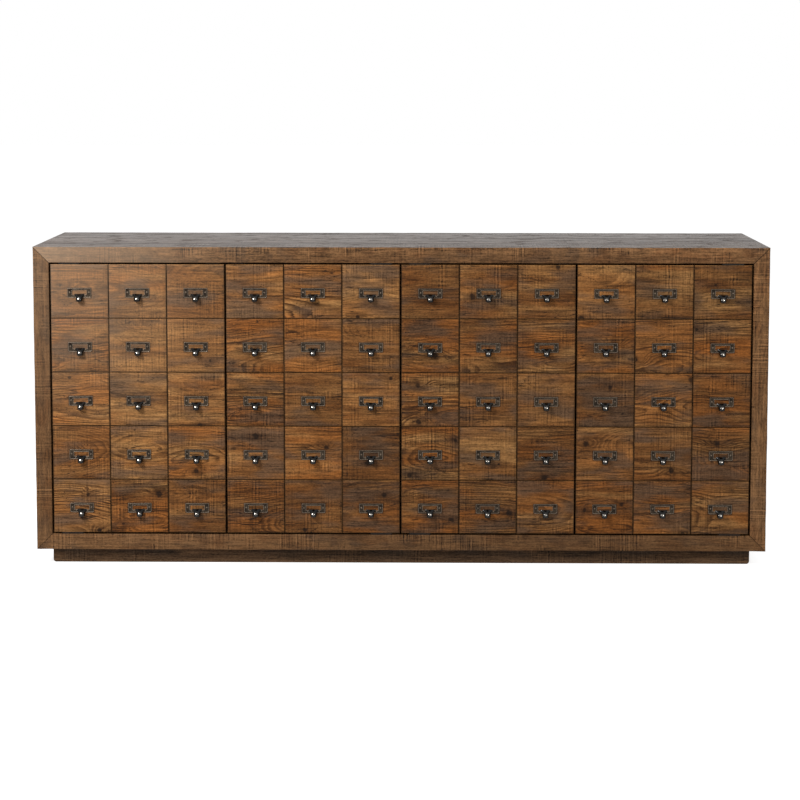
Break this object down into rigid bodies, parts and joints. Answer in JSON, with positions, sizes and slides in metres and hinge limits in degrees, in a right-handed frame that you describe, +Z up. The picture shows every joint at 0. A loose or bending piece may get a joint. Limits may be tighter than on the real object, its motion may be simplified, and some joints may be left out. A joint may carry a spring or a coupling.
{
  "type": "sideboard",
  "caption": "Long low pine sideboard: mitred case on a set-back plinth, flush doors faced with mock drawer fronts that each carry a card-frame pull.",
  "frame": {"origin": "on the floor, under the middle of the whole piece with its pulls", "axes": "+X to the viewer's right along the front, +Y from the front to the back, +Z up"},
  "size_m": [2, 0.496, 0.88],
  "materials": {
    "case_top": "reclaimed pine planks, greyed, waxed",
    "case_pine": "reclaimed pine, brown wax",
    "front_pine": "reclaimed pine fronts, knots and saw marks, waxed",
    "door_board": "pine board, brown stain",
    "inside_pine": "plain pine, brown stain",
    "plinth_pine": "dark stained pine",
    "plywood": "stained plywood",
    "pull_iron": "aged dark metal, rubbed on its edges",
    "hinge_steel": "plain steel",
    "strike_steel": "zinc plated",
    "catch_plastic": "brown moulded case"
  },
  "bodies": {
    "case": {"top_panel": "case_top", "right_side_panel": "case_pine", "bottom_panel": "case_pine", "left_side_panel": "case_pine", "mitre_tongues": "plywood", "centre_partition": "inside_pine", "back_panel_left": "plywood", "back_panel_right": "plywood", "shelf_battens_left": "inside_pine", "shelf_battens_right": "inside_pine", "shelf_left": "inside_pine", "shelf_right": "inside_pine", "plinth_front_rail": "plinth_pine", "plinth_back_rail": "plinth_pine", "plinth_left_rail": "plinth_pine", "plinth_right_rail": "plinth_pine", "plinth_corner_blocks": "inside_pine", "plinth_cross_rails": "inside_pine", "case_hinge_leaves_below": "hinge_steel", "case_hinge_leaves_above": "hinge_steel", "magnetic_catches": "catch_plastic"},
    "door_1": {"door_1_board": "door_board", "door_1_fronts": "front_pine", "door_1_pulls": "pull_iron", "door_1_hinge_leaves": "hinge_steel", "door_1_strike_plate": "strike_steel"},
    "door_2": {"door_2_board": "door_board", "door_2_fronts": "front_pine", "door_2_pulls": "pull_iron", "door_2_hinge_leaves": "hinge_steel", "door_2_strike_plate": "strike_steel"},
    "door_3": {"door_3_board": "door_board", "door_3_fronts": "front_pine", "door_3_pulls": "pull_iron", "door_3_hinge_leaves": "hinge_steel", "door_3_strike_plate": "strike_steel"},
    "door_4": {"door_4_board": "door_board", "door_4_fronts": "front_pine", "door_4_pulls": "pull_iron", "door_4_hinge_leaves": "hinge_steel", "door_4_strike_plate": "strike_steel"}
  },
  "joints": [
    {"name": "door_1_hinge", "type": "hinge", "parent": "case", "child": "door_1", "pos_m": [-0.926, -0.222, 0.462], "axis": [0, 0, -1], "range_deg": [0, 110]},
    {"name": "door_2_hinge", "type": "hinge", "parent": "case", "child": "door_2", "pos_m": [-0.028, -0.222, 0.462], "axis": [0, 0, 1], "range_deg": [0, 90]},
    {"name": "door_3_hinge", "type": "hinge", "parent": "case", "child": "door_3", "pos_m": [0.028, -0.222, 0.462], "axis": [0, 0, -1], "range_deg": [0, 90]},
    {"name": "door_4_hinge", "type": "hinge", "parent": "case", "child": "door_4", "pos_m": [0.926, -0.222, 0.462], "axis": [0, 0, 1], "range_deg": [0, 110]}
  ]
}
